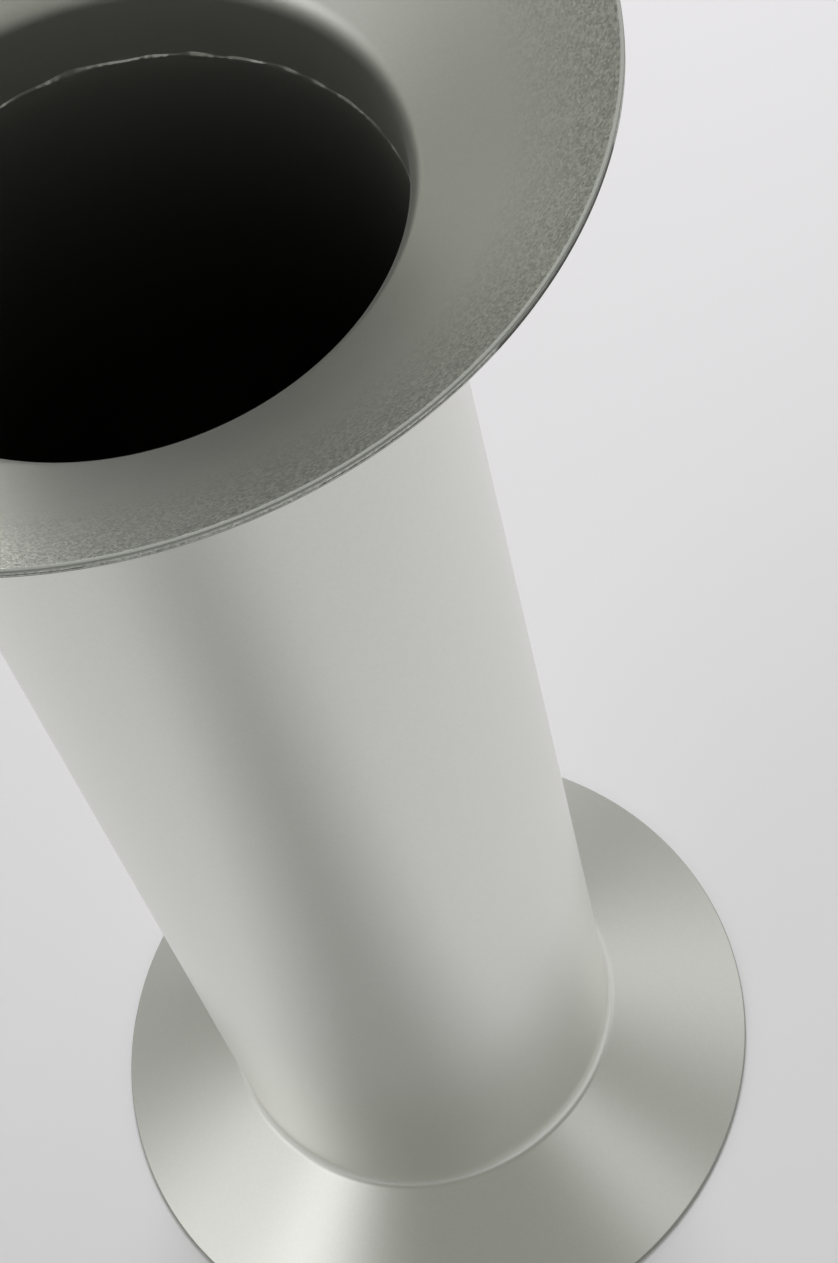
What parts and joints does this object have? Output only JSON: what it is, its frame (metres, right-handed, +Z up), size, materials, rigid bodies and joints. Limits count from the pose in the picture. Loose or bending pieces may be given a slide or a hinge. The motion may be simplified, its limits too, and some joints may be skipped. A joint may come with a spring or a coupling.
{
  "type": "candle mold",
  "caption": "Tall metal pillar-candle mold with a flared pouring mouth, a flared foot, a dished floor and a wick thumbscrew underneath.",
  "frame": {"origin": "on the axis, in the plane that the foot stands on", "axes": "+Z up along the mold's axis, from the foot to the pouring mouth; the shell is round, so X and Y are arbitrary"},
  "size_m": [0.1334, 0.1334, 0.295],
  "materials": {
    "satin_aluminium": "fine bead-blasted and clear anodised, soft satin, faint grey-green cast",
    "spun_aluminium": "as spun, with fine turning rings",
    "weld_aluminium": "as-welded bead, slightly uneven",
    "turned_brass": "turned, lightly tarnished",
    "silicone_rubber": "matt moulded silicone"
  },
  "bodies": {
    "mould": {"pour_flare": "satin_aluminium", "upper_seam_weld": "weld_aluminium", "mould_barrel": "satin_aluminium", "lower_seam_weld": "weld_aluminium", "base_flare": "satin_aluminium", "mould_floor": "spun_aluminium", "floor_weld": "weld_aluminium", "wick_bush": "turned_brass"},
    "seal": {"wick_seal": "silicone_rubber"},
    "screw": {"wick_screw": "turned_brass"}
  },
  "joints": [
    {"name": "screw_travel", "type": "slide", "parent": "mould", "child": "seal", "axis": [0, 0, -1], "range_m": [0, 0.0075]},
    {"name": "screw_turn", "type": "hinge", "parent": "seal", "child": "screw", "pos_m": [0, 0, 0.024], "axis": [0, 0, -1], "range_deg": [0, 2160.01]}
  ],
  "couplings": [
    {"joint": "screw_turn", "follows": "screw_travel", "rad_per_m": 5026.5}
  ]
}
